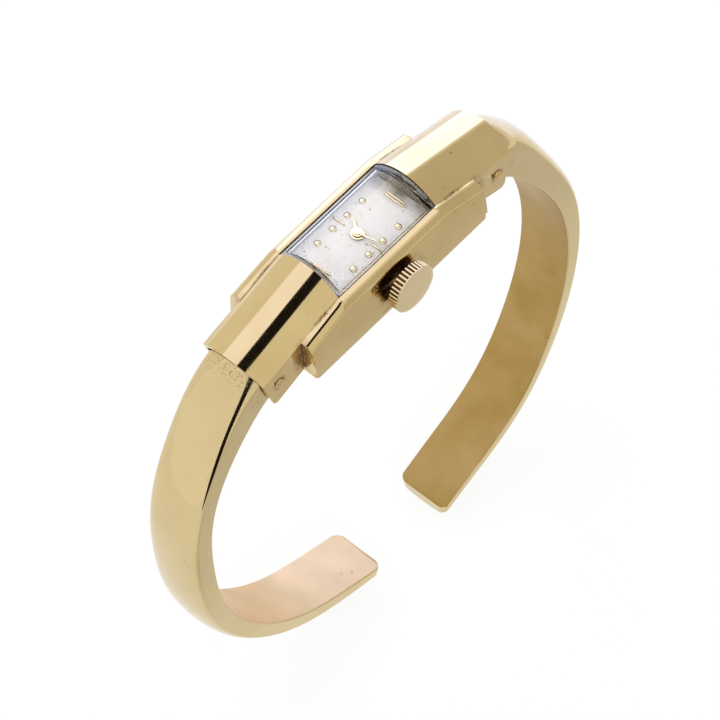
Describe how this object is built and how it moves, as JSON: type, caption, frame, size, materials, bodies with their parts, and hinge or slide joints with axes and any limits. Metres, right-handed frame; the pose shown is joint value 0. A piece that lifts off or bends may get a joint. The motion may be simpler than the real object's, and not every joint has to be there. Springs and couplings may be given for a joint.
{
  "type": "bangle watch",
  "caption": "A lady's gold bangle watch: a slim rectangular case with sloping hoods, from which two sprung, tapering bracelet arms curve round the wrist.",
  "frame": {"origin": "The centre of the case back's flat outer face", "axes": "+Z out through the dial, +Y to 12 o'clock, +X to the crown"},
  "size_m": [0.0126, 0.057, 0.057],
  "materials": {
    "gold_plate": "polished",
    "gold_satin": "satin",
    "dial_face": "satin",
    "marker_gold": "polished",
    "dark_hand": "polished",
    "clear_glass": "clear",
    "plate_nickel": "satin",
    "steel": "polished",
    "blued_steel": "polished",
    "brass": "polished",
    "ruby": "clear",
    "holder_plastic": "moulded"
  },
  "bodies": {
    "watch": {"case_band": "gold_plate", "case_back": "gold_satin", "hood_12": "gold_plate", "hood_6": "gold_plate", "crystal": "clear_glass", "hinge_pin_12": "gold_plate", "hinge_pin_6": "gold_plate", "arm_spring_12": "steel", "arm_spring_6": "steel", "movement_holder": "holder_plastic", "case_tube": "gold_satin", "dial": "dial_face", "hour_dots": "marker_gold", "hour_bars": "marker_gold", "mainplate": "plate_nickel", "barrel_bridge": "plate_nickel", "crown_wheel_screw": "steel", "train_bridge": "plate_nickel", "pallet_cock": "plate_nickel", "hairspring": "blued_steel", "balance_cock": "plate_nickel", "regulator": "steel", "jewels": "ruby", "setting_bridge": "steel", "bridge_screws": "steel"},
    "arm_12_body": {"arm_12": "gold_plate"},
    "arm_6_body": {"arm_6": "gold_plate"},
    "stem": {"winding_stem": "steel"},
    "crown_body": {"crown": "gold_satin"},
    "winding_pinion_body": {"winding_pinion": "steel"},
    "sliding_pinion_body": {"sliding_pinion": "steel"},
    "setting_lever_body": {"setting_lever": "steel"},
    "yoke_body": {"yoke": "steel"},
    "crown_wheel_body": {"crown_wheel": "steel"},
    "ratchet_body": {"ratchet_wheel": "steel", "barrel_arbor": "steel", "ratchet_screw": "steel"},
    "click_body": {"click": "steel"},
    "centre_body": {"centre_wheel": "brass", "cannon_pinion": "steel", "minute_hand": "dark_hand"},
    "hour_body": {"hour_wheel": "brass", "hour_hand": "dark_hand"},
    "minute_wheel_body": {"minute_wheel": "brass"},
    "setting_wheel_body": {"setting_wheel": "steel"},
    "barrel_body": {"barrel": "brass", "barrel_cover": "brass", "mainspring": "blued_steel"},
    "third_body": {"third_wheel": "brass"},
    "fourth_body": {"fourth_wheel": "brass"},
    "escape_body": {"escape_wheel": "steel"},
    "lever_body": {"pallet_fork": "steel", "pallet_stones": "ruby"},
    "balance_body": {"balance_wheel": "brass", "roller": "steel"}
  },
  "joints": [
    {"name": "arm_12_hinge", "type": "hinge", "parent": "watch", "child": "arm_12_body", "pos_m": [0, 0.01515, 0.00203], "axis": [1, 0, 0], "range_deg": [0, 14], "stiffness_Nm_per_rad": 0.05, "springref_deg": -11.46, "deforming": ["arm_spring_12"]},
    {"name": "arm_6_hinge", "type": "hinge", "parent": "watch", "child": "arm_6_body", "pos_m": [0, -0.01515, 0.00203], "axis": [-1, 0, 0], "range_deg": [0, 14], "stiffness_Nm_per_rad": 0.05, "springref_deg": -11.46, "deforming": ["arm_spring_6"]},
    {"name": "crown_pull", "type": "slide", "parent": "watch", "child": "stem", "axis": [1, 0, 0], "range_m": [0, 0.00035]},
    {"name": "crown_turn", "type": "hinge", "parent": "stem", "child": "crown_body", "pos_m": [0.00587, 0, 0.00308], "axis": [1, 0, 0], "continuous": true},
    {"name": "winding_pinion_turn", "type": "hinge", "parent": "watch", "child": "winding_pinion_body", "pos_m": [0.0033, 0, 0.00308], "axis": [1, 0, 0], "continuous": true},
    {"name": "sliding_pinion_slide", "type": "slide", "parent": "watch", "child": "sliding_pinion_body", "axis": [1, 0, 0], "range_m": [-0.000273, 0]},
    {"name": "setting_lever_turn", "type": "hinge", "parent": "watch", "child": "setting_lever_body", "pos_m": [0.0036, 0.0013, 0.00421], "axis": [0, 0, 1], "range_deg": [0, 15.5]},
    {"name": "yoke_turn", "type": "hinge", "parent": "watch", "child": "yoke_body", "pos_m": [0.00245, 0.00155, 0.00421], "axis": [0, 0, 1], "range_deg": [-10.2, 0]},
    {"name": "crown_wheel_turn", "type": "hinge", "parent": "watch", "child": "crown_wheel_body", "pos_m": [0.0018, 0, 0.00178], "axis": [0, 0, 1], "continuous": true},
    {"name": "ratchet_turn", "type": "hinge", "parent": "watch", "child": "ratchet_body", "pos_m": [0, -0.00384, 0.00178], "axis": [0, 0, 1], "continuous": true},
    {"name": "click_swing", "type": "hinge", "parent": "watch", "child": "click_body", "pos_m": [-0.00287, -0.00143, 0.00178], "axis": [0, 0, 1], "range_deg": [0, 12]},
    {"name": "minute_hand_turn", "type": "hinge", "parent": "watch", "child": "centre_body", "pos_m": [0, 0, 0.00247], "axis": [0, 0, 1], "continuous": true},
    {"name": "hour_hand_turn", "type": "hinge", "parent": "watch", "child": "hour_body", "pos_m": [0, 0, 0.00459], "axis": [0, 0, 1], "continuous": true},
    {"name": "minute_wheel_turn", "type": "hinge", "parent": "watch", "child": "minute_wheel_body", "pos_m": [0.0007, -0.00187, 0.00425], "axis": [0, 0, 1], "continuous": true},
    {"name": "setting_wheel_turn", "type": "hinge", "parent": "watch", "child": "setting_wheel_body", "pos_m": [0.0014, 0, 0.00384], "axis": [0, 0, 1], "continuous": true},
    {"name": "barrel_turn", "type": "hinge", "parent": "watch", "child": "barrel_body", "pos_m": [0, -0.00384, 0.00268], "axis": [0, 0, 1], "continuous": true},
    {"name": "third_wheel_turn", "type": "hinge", "parent": "watch", "child": "third_body", "pos_m": [-0.00091, 0.00225, 0.00286], "axis": [0, 0, 1], "continuous": true},
    {"name": "fourth_wheel_turn", "type": "hinge", "parent": "watch", "child": "fourth_body", "pos_m": [0.00062, 0.00379, 0.00342], "axis": [0, 0, 1], "continuous": true},
    {"name": "escape_wheel_turn", "type": "hinge", "parent": "watch", "child": "escape_body", "pos_m": [-0.00132, 0.00469, 0.00314], "axis": [0, 0, 1], "continuous": true},
    {"name": "lever_swing", "type": "hinge", "parent": "watch", "child": "lever_body", "pos_m": [-0.00064, 0.0058, 0.00312], "axis": [0, 0, 1], "range_deg": [-6, 6]},
    {"name": "balance_swing", "type": "hinge", "parent": "watch", "child": "balance_body", "pos_m": [0.00015, 0.0071, 0.0026], "axis": [0, 0, 1], "range_deg": [-150, 150], "stiffness_Nm_per_rad": 0.000000046}
  ],
  "couplings": [
    {"joint": "winding_pinion_turn", "follows": "crown_turn", "ratio": 1},
    {"joint": "crown_wheel_turn", "follows": "crown_turn", "ratio": 0.7},
    {"joint": "ratchet_turn", "follows": "crown_turn", "ratio": -0.42424},
    {"joint": "sliding_pinion_slide", "follows": "crown_pull", "ratio": -0.778},
    {"joint": "setting_lever_turn", "follows": "crown_pull", "rad_per_m": 769.23},
    {"joint": "yoke_turn", "follows": "crown_pull", "rad_per_m": -501.94},
    {"joint": "hour_hand_turn", "follows": "minute_hand_turn", "ratio": 0.083333},
    {"joint": "minute_wheel_turn", "follows": "minute_hand_turn", "ratio": -0.33333},
    {"joint": "setting_wheel_turn", "follows": "minute_hand_turn", "ratio": 1},
    {"joint": "barrel_turn", "follows": "minute_hand_turn", "ratio": -0.2},
    {"joint": "third_wheel_turn", "follows": "minute_hand_turn", "ratio": -8},
    {"joint": "escape_wheel_turn", "follows": "fourth_wheel_turn", "ratio": -10}
  ]
}
